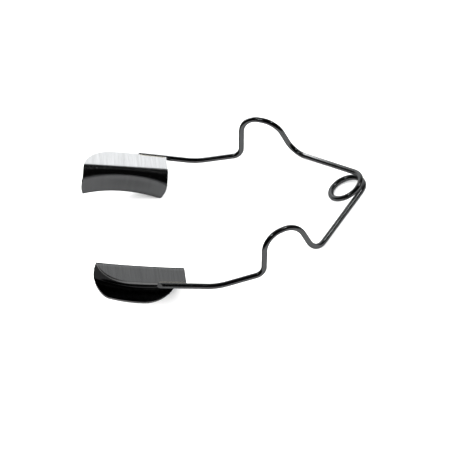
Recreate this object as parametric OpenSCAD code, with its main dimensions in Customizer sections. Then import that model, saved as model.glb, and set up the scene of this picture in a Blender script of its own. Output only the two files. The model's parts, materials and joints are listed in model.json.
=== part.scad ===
// Self-retaining cheek retractor: two channel blades on one springy wire.
// The wire runs blade, shank, finger bow, spring leg, coil, and back again on the other side.
// Left is +Y, right is -Y, the coil is at the +X end and the blades are at the -X end.
// Everything is drawn level first, then leaned back onto its two blades and its coil, as it rests.

/* [Wire] */
// Diameter of the spring wire
wire_d = 2.75; // [2.2:0.05:3.3]
// Length of wire that lies along the edge of each blade
seat_length = 14; // [10:0.5:18]
// Distance from the wire's axis to the flat ground on it for the blade
seat_flat = 0.5; // [0.3:0.05:0.8]

/* [Blades] */
// Length of each blade, front tip to rear end
blade_length = 42; // [34:0.5:50]
// Thickness of the blade sheet
sheet_t = 1.2; // [0.9:0.1:1.5]
// Distance between the two wires at the rear ends of the blades
arm_span = 96.6; // [80:0.2:116]
// Flat width of the top flange
flange_width = 10.7; // [7:0.1:12]
// Bend radius from the flange into the web, at mid-sheet
fold_radius = 6.5; // [4:0.1:8]
// Angle turned by that bend
fold_angle = 84; // [75:1:95]
// Flat height of the web
web_height = 5.7; // [3.5:0.1:9]
// Bend radius from the web into the lower lip, at mid-sheet
lip_radius = 2.4; // [1.6:0.1:4]
// Angle turned by that bend
lip_angle = 82; // [60:1:90]
// Flat width of the lower lip
lip_width = 6.3; // [5:0.1:8]
// How far the lower half bows outwards at mid-length
bow_depth = 5; // [2:0.1:7]
// Length of the rounded front corner of the flange
flange_corner_length = 15; // [10:0.5:18]
// Length of the rounded front corner of the lip
lip_front_length = 7.6; // [5:0.2:12]
// Sheet cut away across the lip at its front corner
lip_front_cut = 15; // [10:0.5:17]
// Length of the rounded rear corner of the lip
lip_rear_length = 17.8; // [10:0.2:22]
// Sheet cut away across the lip at its rear corner
lip_rear_cut = 15; // [10:0.5:17]
// Straight tapered edge in front of the wire's tip
edge_run_in = 6; // [3:0.5:10]
// Nose-up tilt of the blades against the level wire
blade_pitch = 1.6; // [0:0.1:4]
// Height of the sheet's middle over the wire's axis
sheet_lift = 0.45; // [0:0.05:0.6]

/* [Shanks] */
// Rear end of the blade to the shank's first bend, lengthwise
shank_run = 14.7; // [10:0.1:20]
// How far the arm has come inwards at that bend
shank_inset = 0.95; // [0:0.05:3]
// Bend radius there
shank_radius = 27.8; // [15:0.1:35]
// Rear end of the blade to the foot of the rise, lengthwise
rise_run = 36.5; // [31:0.1:44]
// How far the arm has come inwards at the foot of the rise
rise_inset = 3.6; // [2:0.1:6]
// Height of the foot of the rise over the wire at the blade
rise_foot = 6.6; // [4:0.1:9]
// Bend radius at the foot of the rise
rise_radius = 4.7; // [3.5:0.1:6]

/* [Finger bows] */
// Height of the bow's front shoulder over the wire at the blade
bow_height = 29; // [25:0.1:34]
// How far the shoulder stands in front of the foot of the rise
bow_lean = 2.7; // [0:0.1:5]
// How far the arm has come inwards at the front shoulder
front_shoulder_inset = 2.7; // [1:0.1:5]
// Bend radius of the front shoulder
front_shoulder_radius = 9; // [7:0.1:10]
// Front shoulder to rear shoulder, lengthwise
bow_length = 15.7; // [14.5:0.1:20]
// Rise from the front shoulder to the rear shoulder
bow_rise = 2.9; // [0:0.1:5]
// How far the arm has come inwards at the rear shoulder
rear_shoulder_inset = 10.3; // [8:0.1:13]
// Bend radius of the rear shoulder
rear_shoulder_radius = 11; // [8:0.1:12]

/* [Spring legs] */
// Rear shoulder to the low bend, lengthwise
drop_length = 11.6; // [10:0.1:15]
// Height of the low bend over the wire at the blade
low_bend_height = 14.8; // [10:0.1:18]
// How far the arm has come inwards at the low bend
low_bend_inset = 10.8; // [8:0.1:14]
// Bend radius of the low bend
low_bend_radius = 8; // [6:0.1:9]

/* [Coil] */
// Low bend to the middle of the coil, lengthwise
coil_run = 18.8; // [14:0.1:24]
// Height of the coil's middle over the wire at the blade
coil_height = 24.8; // [20:0.1:30]
// Radius of the coil at the wire's centre
coil_radius = 8.3; // [6.5:0.1:10]
// Backward lean of the coil's axis
coil_tilt = 31.9; // [20:0.1:45]
// Gap between the wire's turns where they pass each other
turn_gap = 0.2; // [0.1:0.05:1]

/* [Brazing] */
// Gap between the wire's flat and the sheet, filled with braze
seam_gap = 0.1; // [0.05:0.01:0.2]
// Width of the braze fillet on the sheet
fillet_width = 1.1; // [0.6:0.1:1.6]
// Part of the seat left bare at each end of the braze
seam_end_gap = 0.4; // [0.2:0.1:1]
// Slant of the wire's cut tip
tip_slant = 40; // [20:1:60]

/* [Hidden] */

LEFT = 1;
RIGHT = -1;
wire_r = wire_d / 2;
wire_facets = 48;
tube_sides = 16;
bend_step = 11;
coil_step = 10;
blade_columns = 28;
blade_rows = 26;
// A cutting block this large always clears what it trims.
cut_size = 60;
// Gap left where a straight end stops short of a neighbour that isn't square to it.
end_gap = 0.05;

steel = [0.78, 0.79, 0.80];
spring_steel = [0.55, 0.56, 0.58];
braze_silver = [0.86, 0.84, 0.78];

arm_y = arm_span / 2;

// ---- vectors ----

function unit(v) = v / norm(v);
function angle_between(u, v) = acos(max(-1, min(1, unit(u) * unit(v))));
function lerp(a, b, t) = a + (b - a) * t;
function square_to(v, u) = unit(v - (v * unit(u)) * unit(u));
function smooth(t) = t * t * (3 - 2 * t);

// ---- coil ----

coil_centre = [rise_run - bow_lean + bow_length + drop_length + coil_run, 0, coil_height];
coil_axis = [-sin(coil_tilt), 0, cos(coil_tilt)];
coil_rear = [cos(coil_tilt), 0, sin(coil_tilt)];

// ---- corners of one arm, level, before the arms part along the coil's axis ----

shoulder_x = rise_run - bow_lean;
blade_end = [0, arm_y, 0];
shank_bend = [shank_run, arm_y - shank_inset, -shank_run * tan(blade_pitch)];
wire_tip = blade_end - seat_length * unit(shank_bend - blade_end);
rise_bend = [rise_run, arm_y - rise_inset, rise_foot];
front_shoulder = [shoulder_x, arm_y - front_shoulder_inset, bow_height];
rear_shoulder = [shoulder_x + bow_length, arm_y - rear_shoulder_inset, bow_height + bow_rise];
low_bend = [shoulder_x + bow_length + drop_length, arm_y - low_bend_inset, low_bend_height];

// Each straight part is shared by two pieces of the arm, which meet at its middle.
rise_middle = (rise_bend + front_shoulder) / 2;
drop_middle = (rear_shoulder + low_bend) / 2;

// The leg leaves the coil on a tangent, this far round from the rear of the coil.
leg_rear = (low_bend - coil_centre) * coil_rear;
leg_reach = norm([leg_rear, low_bend.y]);
leave_angle = atan2(low_bend.y, leg_rear) - acos(coil_radius / leg_reach);
coil_sweep = 360 + 2 * leave_angle;
leg_length = sqrt(leg_reach * leg_reach - coil_radius * coil_radius);

// The coil climbs one wire and one gap a turn. A leg and the turn that it passes close up a
// little before they part, so the turns are spread by that much too.
leg_climb = (low_bend - coil_centre) * coil_axis / leg_length;
turn_pitch = wire_d + turn_gap;
passing = 2 * leave_angle / coil_sweep;
closing = 2 * leg_climb * (1 - passing)
    + turn_pitch * 6 * passing * (1 - passing) / (2 * PI * coil_radius);
closing_run = pow(2 * closing * turn_pitch * pow(coil_radius, 2), 1 / 3);
arm_step = (turn_pitch + 0.75 * closing * closing_run) * coil_sweep / 360;
end_climb = leg_climb * coil_radius * coil_sweep * PI / 180;

function side_shift(side) = side * coil_axis * arm_step / 2;
function to_side(p, side) = [p.x, side * p.y, p.z] + side_shift(side);

// Offset along the coil's axis, from the left arm at t = 0 to the right arm at t = 1.
// It leaves each end in line with the leg there.
function coil_offset(t) = arm_step * (0.5 - smooth(t)) - end_climb * t * (1 - t);
function coil_slope(t) = -6 * arm_step * t * (1 - t) - end_climb * (1 - 2 * t);
function coil_point(t) =
    let (a = leave_angle - coil_sweep * t)
    coil_centre + coil_axis * coil_offset(t)
    + coil_radius * (cos(a) * coil_rear + [0, sin(a), 0]);
function coil_heading(t) =
    let (a = leave_angle - coil_sweep * t)
    unit(coil_radius * coil_sweep * PI / 180 * (sin(a) * coil_rear - [0, cos(a), 0])
        + coil_slope(t) * coil_axis);
leg_end = coil_centre + coil_radius * (cos(leave_angle) * coil_rear + [0, sin(leave_angle), 0]);
leg_line = unit(leg_end - low_bend);
low_turn = angle_between(low_bend - rear_shoulder, leg_line);
leg_start = low_bend + leg_line * low_bend_radius * tan(low_turn / 2);

// ---- centrelines, as [point, heading] pairs ----

// Round the corner p, from heading u to heading v.
function bend_line(p, u, v, r) =
    let (
        turn = angle_between(u, v),
        w = square_to(v, u),
        c = p - r * tan(turn / 2) * u + r * w,
        n = ceil(turn / bend_step)
    )
    [for (k = [0:n]) let (a = turn * k / n) [c + r * (sin(a) * u - cos(a) * w), cos(a) * u + sin(a) * w]];
// Through the corners, each inner corner rounded to its own radius.
function wire_line(corners, radii) =
    let (last = len(corners) - 1, dirs = [for (i = [0:last - 1]) unit(corners[i + 1] - corners[i])])
    [
        [corners[0], dirs[0]],
        for (i = [1:last - 1]) each bend_line(corners[i], dirs[i - 1], dirs[i], radii[i - 1]),
        [corners[last], dirs[last - 1]]
    ];
coil_rings = ceil(coil_sweep / coil_step);
coil_line = [for (k = [0:coil_rings]) [coil_point(k / coil_rings), coil_heading(k / coil_rings)]];

// ---- blade section, from the outer edge of the flange round to the edge of the lip ----
// Each point is [inwards, up]; the heading turns from level, inwards, to down and back out.

fold_arc = fold_radius * fold_angle * PI / 180;
lip_arc = lip_radius * lip_angle * PI / 180;
fold_start = flange_width;
web_start = fold_start + fold_arc;
bend_start = web_start + web_height;
lip_start = bend_start + lip_arc;
section_length = lip_start + lip_width;

function heading(s) =
    s < fold_start ? 0
    : s < web_start ? -(s - fold_start) / fold_arc * fold_angle
    : s < bend_start ? -fold_angle
    : s < lip_start ? -fold_angle - (s - bend_start) / lip_arc * lip_angle
    : -fold_angle - lip_angle;
function along(p, a, l) = p + l * [cos(a), sin(a)];
function round_bend(p, a, r, b) = p + r * [sin(a) - sin(a - b), cos(a - b) - cos(a)];
fold_end = round_bend([flange_width, 0], 0, fold_radius, fold_angle);
web_end = along(fold_end, -fold_angle, web_height);
bend_end = round_bend(web_end, -fold_angle, lip_radius, lip_angle);
function section_point(s) =
    s < fold_start ? [s, 0]
    : s < web_start ? round_bend([flange_width, 0], 0, fold_radius, -heading(s))
    : s < bend_start ? along(fold_end, -fold_angle, s - web_start)
    : s < lip_start ? round_bend(web_end, -fold_angle, lip_radius, -heading(s) - fold_angle)
    : along(bend_end, -fold_angle - lip_angle, s - lip_start);

// The wire leaves the blade on a slight slant, and the last of the flange's edge follows it.
seat_yaw = atan(shank_inset / shank_run * cos(blade_pitch));
edge_taper_length = seat_length + edge_run_in;
edge_offset = seat_flat + seam_gap;
// The sheet stops just short of the round wire, whose end face is on the same slant.
sheet_setback = wire_r * sin(seat_yaw) + end_gap;
edge_y = (edge_taper_length + sheet_setback) * tan(seat_yaw) - edge_offset / cos(seat_yaw);

// How much of a corner is cut away at distance d from the end, for a corner this long.
function corner_cut(d, corner_length) =
    d >= corner_length ? 0 : 1 - sqrt(1 - pow(1 - d / corner_length, 2));
flange_corner_cut = flange_width + 0.6 * fold_radius;
function row_start(x) =
    flange_corner_cut * corner_cut(x, flange_corner_length)
    + tan(seat_yaw) * max(0, x - blade_length + edge_taper_length);
function row_end(x) =
    section_length
    - lip_front_cut * corner_cut(x, lip_front_length)
    - lip_rear_cut * corner_cut(blade_length - x, lip_rear_length);
// The bow grows from nothing at the flange to its full depth low on the web.
bow_full = 0.75 * section_length;
function bow_at(x, s) =
    bow_depth * (1 - pow(2 * x / blade_length - 1, 2))
    * smooth(max(0, min(1, (s - fold_start) / (bow_full - fold_start))));

// A point of the left blade: x from the front tip, s round the section, h out from mid-sheet.
function blade_point(x, s, h) =
    let (p = section_point(s), a = heading(s))
    [
        x - blade_length - sheet_setback,
        bow_at(x, s) - p.x + h * sin(a) + edge_y,
        p.y + h * cos(a) + sheet_lift
    ];
function blade_grid(h) = [
    for (i = [0:blade_columns])
        let (x = blade_length * (0.5 - 0.5 * cos(180 * i / blade_columns)))
        for (j = [0:blade_rows]) blade_point(x, lerp(row_start(x), row_end(x), j / blade_rows), h)
];

// ---- resting attitude ----

function pitched(p, a) = [p.x * cos(a) + p.z * sin(a), p.y, p.z * cos(a) - p.x * sin(a)];
function rolled(p, a) = [p.x, p.y * cos(a) - p.z * sin(a), p.y * sin(a) + p.z * cos(a)];
// A blade's own point in the level frame. Its y runs outwards from the wire's axis.
function from_blade(p, side) = to_side(pitched(p, blade_pitch) + blade_end, side);

// It stands on the lower corner of each blade and on the lowest point of its wire.
low_line = wire_line([drop_middle, low_bend, leg_start], [low_bend_radius]);
sheet_points = concat(blade_grid(-sheet_t / 2), blade_grid(sheet_t / 2));
left_sheet = [for (p = sheet_points) from_blade(p, LEFT)];
right_sheet = [for (p = sheet_points) from_blade(p, RIGHT)];
wire_points = concat(
    [for (q = coil_line) q[0]],
    [for (side = [LEFT, RIGHT], q = low_line) to_side(q[0], side)]
);
function lowest(points, a) =
    let (turned = [for (p = points) pitched(p, a)], heights = [for (p = turned) p.z])
    turned[search(min(heights), heights)[0]];
// The roll that brings the two blades' lowest corners to one level.
function roll_at(a) =
    let (l = lowest(left_sheet, a), r = lowest(right_sheet, a))
    -atan((l.z - r.z) / (l.y - r.y));
function wire_clearance(a) =
    let (roll = roll_at(a), corner = rolled(lowest(left_sheet, a), roll))
    min([for (p = wire_points) rolled(pitched(p, a), roll).z]) - wire_r - corner.z;
// Halves the interval until the blades and the wire touch the same level.
function settle(low, high, n) =
    let (mid = (low + high) / 2)
    n == 0 ? mid
    : wire_clearance(mid) > 0 ? settle(mid, high, n - 1)
    : settle(low, mid, n - 1);
rest_pitch = settle(5, 45, 18);
rest_roll = roll_at(rest_pitch);
function leaned(p) = rolled(pitched(p, rest_pitch), rest_roll);

// The resting box: the sheet's own skin, and the wire a radius out from its axis.
resting_sheet = [for (p = concat(left_sheet, right_sheet)) leaned(p)];
resting_wire = concat(
    [for (p = wire_points) leaned(p)],
    [for (side = [LEFT, RIGHT]) leaned(to_side(wire_tip, side))]
);
front_x = min([for (p = resting_sheet) p.x]);
rear_x = max([for (p = resting_wire) p.x]) + wire_r;
left_y = max([for (p = resting_wire) p.y]) + wire_r;
right_y = min([for (p = resting_wire) p.y]) - wire_r;
floor_z = min(min([for (p = resting_sheet) p.z]), min([for (p = resting_wire) p.z]) - wire_r);
rest_shift = -[(front_x + rear_x) / 2, (left_y + right_y) / 2, floor_z];

module at_rest() {
    translate(rest_shift) rotate([rest_roll, 0, 0]) rotate([0, rest_pitch, 0]) children();
}

// Round wire swept along a line of [point, heading] pairs; up keeps its rings from twisting.
module tube(line, up) {
    last = len(line) - 1;
    points = [
        for (q = line)
            let (y = square_to(up, q[1]), x = cross(y, q[1]))
            for (m = [0:tube_sides - 1])
                q[0] + wire_r * (cos(360 * m / tube_sides) * x + sin(360 * m / tube_sides) * y)
    ];
    walls = [
        for (k = [0:last - 1], m = [0:tube_sides - 1])
            let (n = (m + 1) % tube_sides, a = k * tube_sides, b = a + tube_sides)
            each [[a + m, b + m, b + n], [a + m, b + n, a + n]]
    ];
    start = [for (m = [0:tube_sides - 1]) m];
    end = [for (m = [tube_sides - 1:-1:0]) last * tube_sides + m];
    polyhedron(points = points, faces = concat(walls, [start, end]), convexity = 6);
}

module bent_wire(side, corners, radii) {
    color(spring_steel) at_rest()
        tube(wire_line([for (p = corners) to_side(p, side)], radii), [0, 1, 0]);
}

// Places a piece drawn along the blade's own axes, with the wire's axis as its X line.
module on_blade(side) {
    translate(side_shift(side)) mirror([0, side == LEFT ? 0 : 1, 0])
        translate(blade_end) rotate([0, blade_pitch, 0]) children();
}

// The same, turned to run along the wire where it lies on the blade's edge.
module on_seat(side) {
    on_blade(side) rotate([0, 0, -seat_yaw]) children();
}

// ---- pieces ----

// Closed skin over two equal grids of points, one on each face of the sheet.
function cell(i, j) = i * (blade_rows + 1) + j;
grid_size = (blade_columns + 1) * (blade_rows + 1);
function sheet_faces() = concat(
    [for (i = [0:blade_columns - 1], j = [0:blade_rows - 1])
        [cell(i, j), cell(i, j + 1), cell(i + 1, j + 1)]],
    [for (i = [0:blade_columns - 1], j = [0:blade_rows - 1])
        [cell(i, j), cell(i + 1, j + 1), cell(i + 1, j)]],
    [for (i = [0:blade_columns - 1], j = [0:blade_rows - 1])
        [grid_size + cell(i, j), grid_size + cell(i + 1, j + 1), grid_size + cell(i, j + 1)]],
    [for (i = [0:blade_columns - 1], j = [0:blade_rows - 1])
        [grid_size + cell(i, j), grid_size + cell(i + 1, j), grid_size + cell(i + 1, j + 1)]],
    [for (i = [0:blade_columns - 1]) each rim(cell(i, 0), cell(i + 1, 0))],
    [for (i = [0:blade_columns - 1]) each rim(cell(i + 1, blade_rows), cell(i, blade_rows))],
    [for (j = [0:blade_rows - 1]) each rim(cell(0, j + 1), cell(0, j))],
    [for (j = [0:blade_rows - 1]) each rim(cell(blade_columns, j), cell(blade_columns, j + 1))]
);
function rim(a, b) = [[a, b, grid_size + b], [a, grid_size + b, grid_size + a]];

module blade(side) {
    color(steel) at_rest() on_blade(side)
        polyhedron(points = sheet_points, faces = sheet_faces(), convexity = 4);
}

// Cross-section of the wire where it is ground flat to sit on the sheet's edge.
module seat_section() {
    difference() {
        circle(r = wire_r, $fn = wire_facets);
        translate([-wire_d - seat_flat, -wire_d]) square([wire_d, 2 * wire_d]);
    }
}

// Turns a flat section in (outwards, up) into a bar that runs backwards along the seat.
module along_seat(start, length) {
    translate([start, 0, 0]) rotate([90, 0, 90]) linear_extrude(length) children();
}

module braze(side) {
    reach = edge_offset + fillet_width;
    color(braze_silver) at_rest() on_seat(side)
        along_seat(seam_end_gap - seat_length, seat_length - 2 * seam_end_gap)
            difference() {
                polygon([
                    [-reach, sheet_lift + sheet_t / 2],
                    [0, wire_r],
                    [0, -wire_r],
                    [-reach, sheet_lift - sheet_t / 2]
                ]);
                seat_section();
                translate([-edge_offset - 2 * reach, sheet_lift - sheet_t / 2])
                    square([2 * reach, sheet_t]);
            }
}

// The wire's tip is cut on the slant, so that it runs out against the sheet's edge.
module wire_end(side) {
    color(spring_steel) at_rest() on_seat(side) difference() {
        along_seat(-seat_length, seat_length) seat_section();
        translate([-seat_length, -seat_flat, -cut_size / 2])
            rotate([0, 0, tip_slant]) translate([-cut_size / 2, 0, 0]) cube(cut_size);
    }
}

module blade_shank(side) {
    bent_wire(side, [blade_end, shank_bend, rise_bend, rise_middle], [shank_radius, rise_radius]);
}

module finger_bow(side) {
    bent_wire(
        side,
        [rise_middle, front_shoulder, rear_shoulder, drop_middle],
        [front_shoulder_radius, rear_shoulder_radius]
    );
}

module low_bend(side) {
    bent_wire(side, [drop_middle, low_bend, leg_start], [low_bend_radius]);
}

// The straight leg, a true cylinder from the low bend to just short of the coil.
module spring_leg(side) {
    a = to_side(leg_start, side);
    z = unit(to_side(leg_end, side) - a);
    x = square_to([1, 0, 0], z);
    y = cross(z, x);
    color(spring_steel) at_rest()
        multmatrix([
            [x.x, y.x, z.x, a.x],
            [x.y, y.y, z.y, a.y],
            [x.z, y.z, z.z, a.z],
            [0, 0, 0, 1]
        ])
            cylinder(h = norm(leg_end - leg_start) - end_gap, r = wire_r, $fn = wire_facets);
}

// One loop of wire round the coil's axis, from the left leg to the right leg.
module coil_spring() {
    color(spring_steel) at_rest() tube(coil_line, coil_axis);
}

coil_spring();
blade(LEFT);  // left_blade
braze(LEFT);  // left_braze
wire_end(LEFT);  // left_wire_end
blade_shank(LEFT);  // left_blade_shank
finger_bow(LEFT);  // left_finger_bow
low_bend(LEFT);  // left_low_bend
spring_leg(LEFT);  // left_spring_leg
blade(RIGHT);  // right_blade
braze(RIGHT);  // right_braze
wire_end(RIGHT);  // right_wire_end
blade_shank(RIGHT);  // right_blade_shank
finger_bow(RIGHT);  // right_finger_bow
low_bend(RIGHT);  // right_low_bend
spring_leg(RIGHT);  // right_spring_leg
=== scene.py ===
import json
import math
import bpy
from mathutils import Matrix, Vector
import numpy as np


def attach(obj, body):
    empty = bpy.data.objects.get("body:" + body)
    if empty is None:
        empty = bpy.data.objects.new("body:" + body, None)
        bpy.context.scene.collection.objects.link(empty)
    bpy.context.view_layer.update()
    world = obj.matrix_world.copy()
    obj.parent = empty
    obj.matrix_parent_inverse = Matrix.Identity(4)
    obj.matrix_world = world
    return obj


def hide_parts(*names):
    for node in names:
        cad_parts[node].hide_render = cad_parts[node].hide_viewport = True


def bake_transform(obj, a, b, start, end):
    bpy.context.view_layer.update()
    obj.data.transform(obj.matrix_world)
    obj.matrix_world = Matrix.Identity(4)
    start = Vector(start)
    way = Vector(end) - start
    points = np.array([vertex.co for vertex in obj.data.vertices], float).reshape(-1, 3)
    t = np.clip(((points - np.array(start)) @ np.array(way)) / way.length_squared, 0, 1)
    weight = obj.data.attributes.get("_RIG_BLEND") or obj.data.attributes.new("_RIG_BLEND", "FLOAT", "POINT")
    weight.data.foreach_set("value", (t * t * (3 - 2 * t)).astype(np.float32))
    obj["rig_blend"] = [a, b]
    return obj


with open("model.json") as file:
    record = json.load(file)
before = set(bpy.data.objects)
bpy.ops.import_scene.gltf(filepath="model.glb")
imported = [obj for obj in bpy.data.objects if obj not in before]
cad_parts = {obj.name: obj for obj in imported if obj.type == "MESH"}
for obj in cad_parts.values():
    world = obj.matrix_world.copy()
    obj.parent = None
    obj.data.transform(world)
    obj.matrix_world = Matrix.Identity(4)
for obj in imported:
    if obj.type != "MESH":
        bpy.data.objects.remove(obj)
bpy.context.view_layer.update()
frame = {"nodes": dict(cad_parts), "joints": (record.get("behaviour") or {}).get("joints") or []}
print("frame loaded:", len(frame["nodes"]), "nodes")

# The retractor is drawn level, in millimetres, x from the blades to the coil, y outwards to the
# left arm and z up. The arm's hinge in the frame then says how it leans at rest.
armCorners = {
    "bladeEnd": (0.0, 48.3, 0.0),
    "shankBend": (14.7, 47.35, -0.41),
    "riseBend": (36.5, 44.7, 6.6),
    "frontShoulder": (33.8, 45.6, 29.0),
    "rearShoulder": (49.5, 38.0, 31.9),
    "lowBend": (61.1, 37.5, 14.8),
}
bendRadius = {
    "shankBend": 27.8,
    "riseBend": 4.7,
    "frontShoulder": 9.0,
    "rearShoulder": 11.0,
    "lowBend": 8.0,
}
coil = {
    "centre": (79.9, 0.0, 24.8),
    "radius": 8.3,
    "tilt": 31.9,
    "turnGap": 0.2,
    "windingSlack": 0.035,
    "ringsPerHalf": 40,
}
wire = {
    "radius": 1.375,
    "sides": 32,
    "ringSpacing": 0.9,
    "seatLength": 14.0,
    "seatFlat": 0.5,
    "seatRunOut": 1.6,
    "tipSlant": 40.0,
}
mm = 0.001


def degSin(a):
    return math.sin(math.radians(a))


def degCos(a):
    return math.cos(math.radians(a))


# ---- how the level drawing lies in the frame ----
def findHinge():
    for joint in frame["joints"]:
        if joint["name"] == "left_arm_flex":
            return Vector(joint["pos_m"]), Vector(joint["axis"]).normalized()


hingeAt, hingeAxis = findHinge()
restPitch = math.radians(coil["tilt"]) + math.asin(hingeAxis.x)
restRoll = math.atan2(-hingeAxis.y, hingeAxis.z)
levelToRest = (
    Matrix.Translation(hingeAt)
    @ Matrix.Rotation(restRoll, 4, "X")
    @ Matrix.Rotation(restPitch, 4, "Y")
    @ Matrix.Scale(mm, 4)
    @ Matrix.Translation(-Vector(coil["centre"]))
)


def atRest(p):
    return levelToRest @ Vector(p)


# ---- the coil's own frame, and where the legs leave it ----
coilCentre = Vector(coil["centre"])
coilAxis = Vector((-degSin(coil["tilt"]), 0, degCos(coil["tilt"])))
coilRear = Vector((degCos(coil["tilt"]), 0, degSin(coil["tilt"])))
outY = Vector((0, 1, 0))
lowBend = Vector(armCorners["lowBend"])
legRear = (lowBend - coilCentre).dot(coilRear)
legReach = math.hypot(legRear, lowBend.y)
leaveAngle = math.atan2(lowBend.y, legRear) - math.acos(coil["radius"] / legReach)
coilSweep = 2 * math.pi + 2 * leaveAngle
legLength = math.sqrt(legReach ** 2 - coil["radius"] ** 2)
legClimb = (lowBend - coilCentre).dot(coilAxis) / legLength
turnPitch = 2 * wire["radius"] + coil["turnGap"]
passing = 2 * leaveAngle / coilSweep
coilRound = 2 * math.pi * coil["radius"]
closing = 2 * legClimb * (1 - passing) + turnPitch * 6 * passing * (1 - passing) / coilRound
closingRun = (2 * closing * turnPitch * coil["radius"] ** 2) ** (1 / 3)
armStep = (turnPitch + 0.75 * closing * closingRun) * coilSweep / (2 * math.pi)
endClimb = legClimb * coil["radius"] * coilSweep
legEnd = coilCentre + coil["radius"] * (math.cos(leaveAngle) * coilRear + math.sin(leaveAngle) * outY)


def toSide(p, side):
    return Vector((p[0], side * p[1], p[2])) + side * coilAxis * armStep / 2


def coilSample(t):
    # point and heading of the wire, t from the left leg to the right leg
    a = leaveAngle - coilSweep * t
    offset = armStep * (0.5 - t * t * (3 - 2 * t)) - endClimb * t * (1 - t)
    slope = -6 * armStep * t * (1 - t) - endClimb * (1 - 2 * t)
    outwards = math.cos(a) * coilRear + math.sin(a) * outY
    onwards = math.sin(a) * coilRear - math.cos(a) * outY
    point = coilCentre + coilAxis * offset + coil["radius"] * outwards
    return point, (coil["radius"] * coilSweep * onwards + slope * coilAxis).normalized()


def bendSamples(corner, u, v, radius, spacing):
    # round a corner from heading u to heading v
    turn = u.angle(v)
    inwards = (v - v.dot(u) * u).normalized()
    centre = corner - radius * math.tan(turn / 2) * u + radius * inwards
    steps = max(3, math.ceil(turn * radius / spacing))
    samples = []
    for k in range(steps + 1):
        a = turn * k / steps
        samples.append((
            centre + radius * (math.sin(a) * u - math.cos(a) * inwards),
            math.cos(a) * u + math.sin(a) * inwards,
        ))
    return samples


def armSamples(side):
    # the whole arm from the wire's tip on the blade to the coil, as (point, heading)
    bladeEnd = toSide(armCorners["bladeEnd"], side)
    shankBend = toSide(armCorners["shankBend"], side)
    tip = bladeEnd - wire["seatLength"] * (shankBend - bladeEnd).normalized()
    corners = [tip] + [toSide(armCorners[n], side) for n in bendRadius] + [toSide(legEnd, side)]
    radii = list(bendRadius.values())
    headings = [(b - a).normalized() for a, b in zip(corners, corners[1:])]
    samples = [(corners[0], headings[0])]
    for i, radius in enumerate(radii):
        bend = bendSamples(corners[i + 1], headings[i], headings[i + 1], radius, wire["ringSpacing"])
        samples += straightSamples(samples[-1][0], bend[0][0], headings[i]) + bend
    samples += straightSamples(samples[-1][0], corners[-1], headings[-1])
    samples.append((corners[-1], headings[-1]))
    return samples


def straightSamples(a, b, heading):
    # rings between two ends, both ends left out
    steps = max(1, math.ceil((b - a).length / (2 * wire["ringSpacing"])))
    return [(a.lerp(b, k / steps), heading) for k in range(1, steps)]


# ---- forming a flat grid into a piece ----
def deselectAll():
    if bpy.context.object and bpy.context.object.mode != "OBJECT":
        bpy.ops.object.mode_set(mode="OBJECT")
    bpy.ops.object.select_all(action="DESELECT")


def formGrid(name, columns, rows, placeAt, uvScale):
    # a grid of cells; placeAt(column, row) gives each corner's place in metres
    deselectAll()
    bpy.ops.mesh.primitive_grid_add(x_subdivisions=columns, y_subdivisions=rows, size=2)
    piece = bpy.context.object
    piece.name = name
    for vertex in piece.data.vertices:
        column = round((vertex.co.x + 1) / 2 * columns)
        row = round((vertex.co.y + 1) / 2 * rows)
        vertex.co = placeAt(column, row)
    for loop in piece.data.uv_layers.active.data:
        loop.uv = (loop.uv.x * uvScale[0], loop.uv.y * uvScale[1])
    return piece


def closeTube(piece):
    # join the seam of a grid that was wrapped round, and cap its two ends
    bpy.ops.object.mode_set(mode="EDIT")
    bpy.ops.mesh.select_all(action="SELECT")
    bpy.ops.mesh.remove_doubles(threshold=1e-6)
    bpy.ops.mesh.select_all(action="DESELECT")
    bpy.ops.mesh.select_non_manifold()
    bpy.ops.mesh.fill_holes(sides=0)
    bpy.ops.mesh.select_all(action="SELECT")
    bpy.ops.mesh.normals_make_consistent(inside=False)
    bpy.ops.object.mode_set(mode="OBJECT")


def addModifier(piece, kind, **settings):
    modifier = piece.modifiers.new(kind.title(), kind)
    for key, value in settings.items():
        setattr(modifier, key, value)
    bpy.ops.object.modifier_apply(modifier=modifier.name)


def shadeByAngle(piece, degrees):
    deselectAll()
    piece.select_set(True)
    bpy.context.view_layer.objects.active = piece
    bpy.ops.object.shade_smooth_by_angle(angle=math.radians(degrees))


def squareTo(v, u):
    return (v - v.dot(u) * u).normalized()


# ---- the camera, in metres in the frame ----
view = {
    "target": (-0.00258, -0.00221, 0.00234),
    "toRight": (0.96051, -0.11315, -0.25422),
    "toTop": (0.26452, 0.65478, 0.70802),
    "distance": 1.5588,
    "widthAtTarget": 0.21788,
    "slideRight": -0.00035,
    "slideUp": -0.00040,
}


def makeCamera():
    right = Vector(view["toRight"]).normalized()
    top = Vector(view["toTop"])
    top = (top - top.dot(right) * right).normalized()
    back = right.cross(top)
    bpy.ops.object.camera_add()
    camera = bpy.context.object
    camera.name = "viewCamera"
    place = Vector(view["target"]) + view["distance"] * back
    place += view["slideRight"] * right + view["slideUp"] * top
    camera.matrix_world = Matrix.Translation(place) @ Matrix((right, top, back)).transposed().to_4x4()
    camera.data.sensor_width = 36
    camera.data.lens = 36 * view["distance"] / view["widthAtTarget"]
    camera.data.clip_end = 20
    bpy.context.scene.camera = camera


deselectAll()
makeCamera()
print("camera set")


# ---- materials ----
# a noise node's values lie mostly between these two
noiseLow, noiseHigh = 0.3, 0.7


def newMaterial(name):
    material = bpy.data.materials.new(name)
    material.use_nodes = True
    nodes = material.node_tree.nodes
    return material, nodes, material.node_tree.links, nodes["Principled BSDF"]


def addNode(nodes, kind, **inputs):
    node = nodes.new(kind)
    for key, value in inputs.items():
        node.inputs[key].default_value = value
    return node


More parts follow.
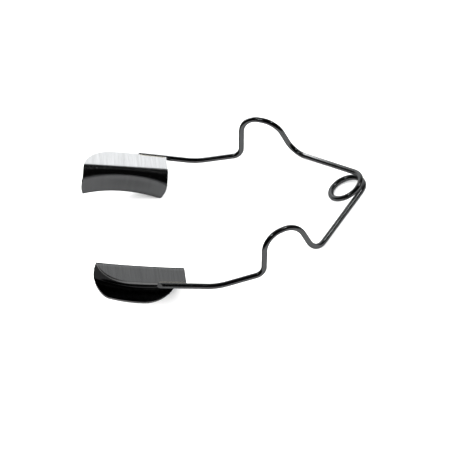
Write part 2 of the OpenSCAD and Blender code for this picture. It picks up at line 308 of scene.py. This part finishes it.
def stretched(nodes, links, source, scale):
    # a coordinate stretched by a Mapping node
    mapping = nodes.new("ShaderNodeMapping")
    mapping.inputs["Scale"].default_value = scale
    links.new(source, mapping.inputs["Vector"])
    return mapping.outputs["Vector"]


def ranged(nodes, links, source, low, high):
    node = nodes.new("ShaderNodeMapRange")
    node.inputs["From Min"].default_value = noiseLow
    node.inputs["From Max"].default_value = noiseHigh
    node.inputs["To Min"].default_value = low
    node.inputs["To Max"].default_value = high
    links.new(source, node.inputs["Value"])
    return node.outputs["Result"]


def noiseOn(nodes, links, coordinate, **inputs):
    noise = addNode(nodes, "ShaderNodeTexNoise", **inputs)
    links.new(coordinate, noise.inputs["Vector"])
    return noise.outputs["Fac"]


def blended(nodes, links, first, second, share):
    node = nodes.new("ShaderNodeMix")
    node.inputs["Factor"].default_value = share
    links.new(first, node.inputs["A"])
    links.new(second, node.inputs["B"])
    return node.outputs["Result"]


def shaded(nodes, links, source, colour, darker):
    # the colour, falling to a darker share of itself where the noise is low
    ramp = nodes.new("ShaderNodeValToRGB")
    ramp.color_ramp.elements[0].position = noiseLow
    ramp.color_ramp.elements[0].color = (*[c * d for c, d in zip(colour, darker)], 1)
    ramp.color_ramp.elements[1].position = noiseHigh
    ramp.color_ramp.elements[1].color = (*colour, 1)
    links.new(source, ramp.inputs["Fac"])
    return ramp.outputs["Color"]


def raised(nodes, links, shader, source, strength, distance):
    # fine relief on bare metal
    bump = nodes.new("ShaderNodeBump")
    bump.inputs["Strength"].default_value = strength
    bump.inputs["Distance"].default_value = distance
    links.new(source, bump.inputs["Height"])
    links.new(bump.outputs["Normal"], shader.inputs["Normal"])
    shader.inputs["Metallic"].default_value = 1.0


# UV runs in millimetres on every formed piece, along its length and then across it
bladeFinish = {
    "colour": (0.60, 0.61, 0.62),
    # painted shade: the channel's inner face gets a much darker colour, standing in for the shade inside the
    # channel
    "channelPaintedShade": (0.14, 0.142, 0.145),
    # painted highlight: the sheet's cut rim gets a lighter colour, standing in for the bright highlight
    # along the edge
    "rimPaintedHighlight": (0.90, 0.90, 0.90),
    "darker": (0.9, 0.9, 0.9),
    "grainScale": (9.0, 0.16, 1),
    "grainDepth": 0.07,
    "grainRelief": 0.0002,
    "smudgeSize": 60.0,
    "smudgeShare": 0.35,
    "roughLow": 0.12,
    "roughHigh": 0.25,
    "streakScale": (0.9, 0.035, 1),
    "streakTint": 0.80,
}


def bladeMaterial(name, colour):
    finish = bladeFinish
    material, nodes, links, shader = newMaterial(name)
    uv = nodes.new("ShaderNodeUVMap").outputs["UV"]
    coords = nodes.new("ShaderNodeTexCoord").outputs["Object"]
    brushed = stretched(nodes, links, uv, finish["grainScale"])
    grain = noiseOn(nodes, links, brushed, Scale=1.0, Detail=6.0, Roughness=0.65)
    smudge = noiseOn(nodes, links, coords, Scale=finish["smudgeSize"], Detail=3.0)
    mixed = blended(nodes, links, grain, smudge, finish["smudgeShare"])
    rough = ranged(nodes, links, mixed, finish["roughLow"], finish["roughHigh"])
    links.new(rough, shader.inputs["Roughness"])
    along = stretched(nodes, links, uv, finish["streakScale"])
    streak = noiseOn(nodes, links, along, Scale=1.0, Detail=4.0, Roughness=0.7)
    worn = nodes.new("ShaderNodeMix")
    worn.data_type = "RGBA"
    worn.blend_type = "MULTIPLY"
    tint = finish["streakTint"]
    worn.inputs["B"].default_value = (tint, tint, tint, 1)
    links.new(ranged(nodes, links, streak, 0.0, 1.0), worn.inputs["Factor"])
    links.new(shaded(nodes, links, mixed, colour, finish["darker"]), worn.inputs["A"])
    links.new(worn.outputs["Result"], shader.inputs["Base Color"])
    raised(nodes, links, shader, grain, finish["grainDepth"], finish["grainRelief"])
    return material


wireFinish = {
    "colour": (0.52, 0.53, 0.54),
    "darker": (0.88, 0.88, 0.88),
    "drawnScale": (0.12, 5.0, 1),
    "drawnDepth": 0.05,
    "drawnRelief": 0.0001,
    "patchSize": 140.0,
    "patchShare": 0.5,
    "roughLow": 0.10,
    "roughHigh": 0.20,
}


def wireMaterial():
    finish = wireFinish
    material, nodes, links, shader = newMaterial("polished spring wire")
    uv = nodes.new("ShaderNodeUVMap").outputs["UV"]
    coords = nodes.new("ShaderNodeTexCoord").outputs["Object"]
    pulled = stretched(nodes, links, uv, finish["drawnScale"])
    drawn = noiseOn(nodes, links, pulled, Scale=1.0, Detail=5.0, Roughness=0.6)
    patches = noiseOn(nodes, links, coords, Scale=finish["patchSize"], Detail=2.0)
    mixed = blended(nodes, links, drawn, patches, finish["patchShare"])
    rough = ranged(nodes, links, mixed, finish["roughLow"], finish["roughHigh"])
    links.new(rough, shader.inputs["Roughness"])
    shade = shaded(nodes, links, mixed, finish["colour"], finish["darker"])
    links.new(shade, shader.inputs["Base Color"])
    raised(nodes, links, shader, drawn, finish["drawnDepth"], finish["drawnRelief"])
    return material


brazeFinish = {
    "colour": (0.72, 0.70, 0.64),
    "darker": (0.8, 0.8, 0.78),
    "rippleSize": 900.0,
    "rippleDepth": 0.25,
    "rippleRelief": 0.0002,
    "roughLow": 0.22,
    "roughHigh": 0.38,
}


def brazeMaterial():
    finish = brazeFinish
    material, nodes, links, shader = newMaterial("silver braze")
    coords = nodes.new("ShaderNodeTexCoord").outputs["Object"]
    ripple = noiseOn(nodes, links, coords, Scale=finish["rippleSize"], Detail=3.0)
    shade = shaded(nodes, links, ripple, finish["colour"], finish["darker"])
    links.new(shade, shader.inputs["Base Color"])
    rough = ranged(nodes, links, ripple, finish["roughLow"], finish["roughHigh"])
    links.new(rough, shader.inputs["Roughness"])
    raised(nodes, links, shader, ripple, finish["rippleDepth"], finish["rippleRelief"])
    return material


bladeSteel = bladeMaterial("brushed blade steel", bladeFinish["colour"])
# painted shade: the same steel, darkened, for the inner face of the channel
bladeChannelPaintedShade = bladeMaterial("steel with painted shade inside the channel", bladeFinish["channelPaintedShade"])
# painted highlight: the same steel, lightened, for the sheet's cut rim
bladeRimPaintedHighlight = bladeMaterial("blade edge with painted highlight", bladeFinish["rimPaintedHighlight"])
wireSteel = wireMaterial()
brazeSilver = brazeMaterial()
print("materials made")


# ---- the wire ----
def pathLengths(samples):
    lengths = [0.0]
    for (a, _), (b, _) in zip(samples, samples[1:]):
        lengths.append(lengths[-1] + (b - a).length)
    return lengths


def wirePiece(name, samples, up, shapeRing=None):
    lengths = pathLengths(samples)
    turn = 2 * math.pi / wire["sides"]

    def placeAt(column, row):
        point, heading = samples[column]
        y = squareTo(up, heading)
        x = y.cross(heading)
        along = lengths[column]
        out, high = wire["radius"] * math.cos(turn * row), wire["radius"] * math.sin(turn * row)
        slide = 0.0
        if shapeRing:
            out, high, slide = shapeRing(along, out, high)
        return atRest(point + out * x + high * y + slide * heading)

    around = 2 * math.pi * wire["radius"]
    piece = formGrid(name, len(samples) - 1, wire["sides"], placeAt, (lengths[-1], around))
    closeTube(piece)
    shadeByAngle(piece, 35)
    piece.data.materials.append(wireSteel)
    return piece


def smooth(t):
    t = max(0.0, min(1.0, t))
    return t * t * (3 - 2 * t)


def seatShaper(side):
    # the wire's end is ground flat towards the blade and cut off on the slant

    def shape(along, out, high):
        # out and high are measured with the ring's x towards -z, so turn them to outwards and up
        outwards, up = side * high, -out
        depth = wire["seatFlat"] + smooth((along - wire["seatLength"]) / wire["seatRunOut"]) \
            * (wire["radius"] - wire["seatFlat"])
        outwards = max(outwards, -depth)
        tipStart = (outwards + wire["seatFlat"]) / math.tan(math.radians(wire["tipSlant"]))
        return -up, side * outwards, max(0.0, tipStart - along)

    return shape


def makeArmWire(sideName, side):
    piece = wirePiece(sideName + "_arm_wire", armSamples(side), outY, seatShaper(side))
    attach(piece, sideName + "_arm")
    nodes = ["wire_end", "blade_shank", "finger_bow", "low_bend", "spring_leg"]
    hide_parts(*[sideName + "_" + n for n in nodes])
    return piece


def slimRing(along, out, high):
    # a hair thinner, so that the wound coil still clears the leg that passes it
    share = 1 - coil["windingSlack"] / wire["radius"]
    return share * out, share * high, 0.0


def makeCoilHalf(sideName, start, stop):
    steps = coil["ringsPerHalf"]
    samples = [coilSample(start + (stop - start) * k / steps) for k in range(steps + 1)]
    piece = wirePiece(sideName + "_coil_half", samples, coilAxis, slimRing)
    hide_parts("coil_spring")
    return piece


def windWeights(piece, sideName):
    # each point turns by its share of the winding, from the coil's middle to the leg
    restToLevel = levelToRest.inverted()
    share = piece.data.attributes["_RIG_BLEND"].data
    for vertex, weight in zip(piece.data.vertices, share):
        p = restToLevel @ vertex.co - coilCentre
        angle = math.atan2(p.y, p.dot(coilRear))
        weight.value = windShare(angle, sideName)


def windShare(angle, sideName):
    # angle round the coil's axis from its rear; the middle of the wire lies at the front
    if sideName == "right":
        angle = -angle
    if angle > math.pi / 2:
        angle -= 2 * math.pi
    return max(0.0, min(1.0, (math.pi + angle) / (math.pi + leaveAngle)))


wires = {}
for sideName, side in (("left", 1), ("right", -1)):
    wires[sideName] = makeArmWire(sideName, side)
print("arms made")

for sideName, start, stop in (("left", 0.0, 0.5), ("right", 0.5, 1.0)):
    piece = makeCoilHalf(sideName, start, stop)
    front = atRest(coilCentre - coil["radius"] * coilRear)
    rear = atRest(coilCentre + coil["radius"] * coilRear)
    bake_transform(piece, "coil", sideName + "_arm", start=tuple(front), end=tuple(rear))
    windWeights(piece, sideName)
print("coil made")


# ---- the blades ----
blade = {
    "length": 42.0,
    "sheet": 1.2,
    "flangeWidth": 10.7,
    "foldRadius": 6.5,
    "foldAngle": 84.0,
    "webHeight": 5.7,
    "lipRadius": 2.4,
    "lipAngle": 82.0,
    "lipWidth": 6.3,
    "bowDepth": 5.0,
    "flangeCorner": 15.0,
    "lipFrontLength": 7.6,
    "lipFrontCut": 15.0,
    "lipRearLength": 17.8,
    "lipRearCut": 15.0,
    "edgeRunIn": 6.0,
    "pitch": 1.6,
    "lift": 0.45,
    "seamGap": 0.1,
    "endGap": 0.05,
    "cornerIntoFold": 0.6,
    "bowFullAt": 0.75,
    "edgeRound": 0.32,
    "columns": 84,
    "rows": 60,
}
foldArc = blade["foldRadius"] * math.radians(blade["foldAngle"])
lipArc = blade["lipRadius"] * math.radians(blade["lipAngle"])
webStart = blade["flangeWidth"] + foldArc
bendStart = webStart + blade["webHeight"]
lipStart = bendStart + lipArc
sectionLength = lipStart + blade["lipWidth"]
seatYaw = math.atan2(
    (armCorners["bladeEnd"][1] - armCorners["shankBend"][1]) * degCos(blade["pitch"]),
    armCorners["shankBend"][0],
)
taperLength = wire["seatLength"] + blade["edgeRunIn"]
edgeOffset = wire["seatFlat"] + blade["seamGap"]
setback = wire["radius"] * math.sin(seatYaw) + blade["endGap"]
edgeY = (taperLength + setback) * math.tan(seatYaw) - edgeOffset / math.cos(seatYaw)


def roundBend(p, a, radius, turned):
    # from p with heading a (degrees), turned clockwise
    return (
        p[0] + radius * (degSin(a) - degSin(a - turned)),
        p[1] + radius * (degCos(a - turned) - degCos(a)),
    )


def straightOn(p, a, length):
    return p[0] + length * degCos(a), p[1] + length * degSin(a)


foldEnd = roundBend((blade["flangeWidth"], 0), 0, blade["foldRadius"], blade["foldAngle"])
webEnd = straightOn(foldEnd, -blade["foldAngle"], blade["webHeight"])
bendEnd = roundBend(webEnd, -blade["foldAngle"], blade["lipRadius"], blade["lipAngle"])


def sectionPoint(s):
    # inwards and up, at length s round the section from the flange's outer edge
    if s < blade["flangeWidth"]:
        return s, 0.0
    if s < webStart:
        turned = (s - blade["flangeWidth"]) / foldArc * blade["foldAngle"]
        return roundBend((blade["flangeWidth"], 0), 0, blade["foldRadius"], turned)
    if s < bendStart:
        return straightOn(foldEnd, -blade["foldAngle"], s - webStart)
    if s < lipStart:
        turned = (s - bendStart) / lipArc * blade["lipAngle"]
        return roundBend(webEnd, -blade["foldAngle"], blade["lipRadius"], turned)
    return straightOn(bendEnd, -blade["foldAngle"] - blade["lipAngle"], s - lipStart)


def cornerCut(d, cornerLength):
    return 0.0 if d >= cornerLength else 1 - math.sqrt(1 - (1 - d / cornerLength) ** 2)


def rowStart(x):
    corner = (blade["flangeWidth"] + blade["cornerIntoFold"] * blade["foldRadius"])
    corner *= cornerCut(x, blade["flangeCorner"])
    return corner + math.tan(seatYaw) * max(0.0, x - blade["length"] + taperLength)


def rowEnd(x):
    front = blade["lipFrontCut"] * cornerCut(x, blade["lipFrontLength"])
    rear = blade["lipRearCut"] * cornerCut(blade["length"] - x, blade["lipRearLength"])
    return sectionLength - front - rear


def bowAt(x, s):
    reach = (s - blade["flangeWidth"]) / (blade["bowFullAt"] * sectionLength - blade["flangeWidth"])
    return blade["bowDepth"] * (1 - (2 * x / blade["length"] - 1) ** 2) * smooth(reach)


def fromBlade(p, side):
    # the blade's own axes: x back from its rear end, y outwards from the wire, z up
    tilted = Matrix.Rotation(math.radians(blade["pitch"]), 3, "Y") @ Vector(p)
    return atRest(toSide(tilted + Vector(armCorners["bladeEnd"]), side))


def makeBlade(sideName, side):
    columns, rows = blade["columns"], blade["rows"]

    def placeAt(column, row):
        x = blade["length"] * (0.5 - 0.5 * math.cos(math.pi * column / columns))
        s = rowStart(x) + (rowEnd(x) - rowStart(x)) * row / rows
        inwards, up = sectionPoint(s)
        outwards = bowAt(x, s) - inwards + edgeY
        return fromBlade((x - blade["length"] - setback, outwards, up + blade["lift"]), side)

    piece = formGrid(sideName + "_brushed_blade", columns, rows, placeAt, (blade["length"], sectionLength))
    if side < 0:
        bpy.ops.object.mode_set(mode="EDIT")
        bpy.ops.mesh.select_all(action="SELECT")
        bpy.ops.mesh.flip_normals()
        bpy.ops.object.mode_set(mode="OBJECT")
    # the solidified sheet takes its first skin (steel darkened with painted shade, inside the channel), its
    # second skin and its rim (steel lightened with a painted highlight) in this order
    for material in (bladeChannelPaintedShade, bladeSteel, bladeRimPaintedHighlight):
        piece.data.materials.append(material)
    addModifier(piece, "SOLIDIFY", thickness=blade["sheet"] * mm, offset=0.0, use_even_offset=True,
                material_offset=1, material_offset_rim=2)
    addModifier(piece, "BEVEL", width=blade["edgeRound"] * mm, segments=3,
                limit_method="ANGLE", angle_limit=math.radians(55))
    shadeByAngle(piece, 50)
    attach(piece, sideName + "_arm")
    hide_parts(sideName + "_blade")
    return piece


blades = {}
for sideName, side in (("left", 1), ("right", -1)):
    blades[sideName] = makeBlade(sideName, side)
print("blades made")


# ---- the brazed seams ----
seam = {
    "filletWidth": 1.1,
    "endGap": 0.4,
    "endTaper": 1.2,
    "stations": 36,
    "arcPoints": 7,
    "bite": 0.01,
    "endSwell": 0.35,
    "around": 6.0,
}


def seamProfile(swell):
    # closed outline in outwards and up, hollow fillets over and under the sheet's edge
    half = blade["sheet"] / 2
    flat = -wire["seatFlat"] + 2 * seam["bite"]
    edge = -edgeOffset
    reach = edge - seam["filletWidth"] * swell
    over = blade["lift"] + half
    under = blade["lift"] - half
    wireTop = math.sqrt(wire["radius"] ** 2 - wire["seatFlat"] ** 2)
    top = over + (wireTop - over) * swell
    bottom = under - (under + wireTop) * swell
    points = []
    for k in range(seam["arcPoints"]):
        t = k / (seam["arcPoints"] - 1)
        points.append((reach + (flat - reach) * t, over + (top - over) * t * t + seam["bite"]))
    for k in range(seam["arcPoints"]):
        t = 1 - k / (seam["arcPoints"] - 1)
        points.append((reach + (flat - reach) * t, under + (bottom - under) * t * t - seam["bite"]))
    points.append((edge, under + seam["bite"]))
    points.append((edge, over - seam["bite"]))
    return points


def makeSeam(sideName, side):
    stations = seam["stations"]
    first = -wire["seatLength"] + seam["endGap"]
    last = -seam["endGap"]
    rows = len(seamProfile(1.0))

    def placeAt(column, row):
        x = first + (last - first) * column / stations
        fromEnd = min(x - first, last - x)
        swell = seam["endSwell"] + (1 - seam["endSwell"]) * smooth(fromEnd / seam["endTaper"])
        swell *= 1 + 0.05 * math.sin(2.3 * x) + 0.04 * math.sin(5.1 * x + 1)
        outwards, up = seamProfile(swell)[row % rows]
        turned = Matrix.Rotation(-seatYaw, 3, "Z") @ Vector((x, outwards, up))
        return fromBlade(turned, side)

    piece = formGrid(sideName + "_braze_fillet", stations, rows, placeAt, (last - first, seam["around"]))
    closeTube(piece)
    shadeByAngle(piece, 45)
    piece.data.materials.append(brazeSilver)
    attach(piece, sideName + "_arm")
    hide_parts(sideName + "_braze")
    return piece


seams = {}
for sideName, side in (("left", 1), ("right", -1)):
    seams[sideName] = makeSeam(sideName, side)
print("seams made")


# ---- floor and light ----
studio = {
    "floorSize": 6.0,
    "floorColour": (0.86, 0.86, 0.86),
    "mirroredNear": 0.085,
    "mirroredFar": 0.004,
    "nearReach": 0.07,
    "farReach": 0.22,
    "darkLevel": 0.003,
    "greyLevel": 0.30,
    "roomBack": (-0.124, 0.992, 0.0),
    "greyFrom": 0.30,
    "greyFull": 0.95,
    "cardReach": 1.5,
    "fillPower": 8.4,
    "fillAngle": 150,
}
# each card is (name, azimuth, elevation, width, height, brightness), seen from the origin in degrees
cards = [
    ("overheadCard", 215, 72, 14, 5, 2.4),
    ("rearCard", 5, 48, 12, 5, 2.4),
]
bladeBox = {
    "across": 0.090,
    "along": 0.130,
    "reach": 0.105,
    "slide": 0.022,
    "brightness": 1.35,
}


def makeFloor():
    deselectAll()
    bpy.ops.mesh.primitive_plane_add(size=studio["floorSize"])
    floor = bpy.context.object
    floor.name = "floor"
    material, nodes, links, shader = newMaterial("pale floor")
    # the floor is pale to look at; the polished metal mirrors it grey close by and dark further off
    coords = nodes.new("ShaderNodeTexCoord").outputs["Object"]
    fromMiddle = nodes.new("ShaderNodeVectorMath")
    fromMiddle.operation = "LENGTH"
    links.new(coords, fromMiddle.inputs[0])
    mirrored = addNode(nodes, "ShaderNodeMapRange", **{
        "From Min": studio["nearReach"], "From Max": studio["farReach"],
        "To Min": studio["mirroredNear"], "To Max": studio["mirroredFar"]})
    mirrored.interpolation_type = "SMOOTHSTEP"
    links.new(fromMiddle.outputs["Value"], mirrored.inputs["Value"])
    tone = nodes.new("ShaderNodeMix")
    tone.data_type = "RGBA"
    tone.inputs["A"].default_value = (*studio["floorColour"], 1)
    links.new(mirrored.outputs["Result"], tone.inputs["B"])
    links.new(nodes.new("ShaderNodeLightPath").outputs["Is Glossy Ray"], tone.inputs["Factor"])
    links.new(tone.outputs["Result"], shader.inputs["Base Color"])
    shader.inputs["Roughness"].default_value = 0.9
    shader.inputs["Specular IOR Level"].default_value = 0.1
    floor.data.materials.append(material)


def areaLight(name, place, lookAt, size, power):
    bpy.ops.object.light_add(type="AREA", location=place)
    light = bpy.context.object
    light.name = name
    light.data.shape = "RECTANGLE"
    light.data.size, light.data.size_y = size
    light.data.energy = power
    light.rotation_euler = (Vector(lookAt) - Vector(place)).to_track_quat("-Z", "Y").to_euler()
    light.visible_camera = False
    return light


def cardLight(name, azimuth, elevation, width, height, brightness):
    # a distant softbox that only shows in the polished metal
    reach = studio["cardReach"]
    place = reach * Vector((
        degCos(elevation) * degCos(azimuth), degCos(elevation) * degSin(azimuth), degSin(elevation)))
    size = [2 * reach * math.tan(math.radians(a / 2)) for a in (width, height)]
    light = areaLight(name, place, (0, 0, 0), size, brightness * math.pi * size[0] * size[1])
    light.visible_diffuse = False
    return light


def makeLights():
    world = bpy.context.scene.world or bpy.data.worlds.new("studio")
    bpy.context.scene.world = world
    world.use_nodes = True
    nodes, links = world.node_tree.nodes, world.node_tree.links
    # the room is dark on the camera's side and grey beyond the object
    facing = nodes.new("ShaderNodeVectorMath")
    facing.operation = "DOT_PRODUCT"
    facing.inputs[1].default_value = studio["roomBack"]
    links.new(nodes.new("ShaderNodeTexCoord").outputs["Generated"], facing.inputs[0])
    room = addNode(nodes, "ShaderNodeMapRange", **{
        "From Min": studio["greyFrom"], "From Max": studio["greyFull"],
        "To Min": studio["darkLevel"], "To Max": studio["greyLevel"]})
    room.interpolation_type = "SMOOTHSTEP"
    links.new(facing.outputs["Value"], room.inputs["Value"])
    links.new(room.outputs["Result"], nodes["Background"].inputs["Color"])
    bpy.ops.object.light_add(type="SUN", location=(0, 0, 2))
    sun = bpy.context.object
    sun.name = "overheadFill"
    sun.data.energy = studio["fillPower"]
    sun.data.angle = math.radians(studio["fillAngle"])
    sun.visible_glossy = False
    for card in cards:
        cardLight(*card)
    farBladeLight()


def farBladeLight():
    # a softbox close to the far arm, which lights that arm only and shows in its flange
    middle = (-blade["length"] / 2, -blade["flangeWidth"] / 2, blade["lift"])
    flange, nearFlange = fromBlade(middle, 1), fromBlade(middle, -1)
    pitched = Matrix.Rotation(math.radians(blade["pitch"]), 3, "Y")
    up = (levelToRest.to_3x3() @ pitched @ Vector((0, 0, 1))).normalized()
    look = -Vector(view["toRight"]).cross(Vector(view["toTop"])).normalized()
    bounce = look - 2 * look.dot(up) * up
    across = squareTo(nearFlange - flange, bounce)
    place = flange + bladeBox["reach"] * bounce + (bladeBox["slide"] - bladeBox["across"] / 2) * across
    size = (bladeBox["along"], bladeBox["across"])
    power = bladeBox["brightness"] * math.pi * size[0] * size[1]
    light = areaLight("farBladeSoftbox", place, flange, size, power)
    light.rotation_euler = Matrix((across.cross(bounce), across, bounce)).transposed().to_euler()
    light.visible_diffuse = False
    farArm = bpy.data.collections.new("farArm")
    for piece in (blades["left"], wires["left"], seams["left"]):
        farArm.objects.link(piece)
    light.light_linking.receiver_collection = farArm


makeFloor()
makeLights()
bpy.context.scene.view_settings.view_transform = "Standard"
print("studio made")
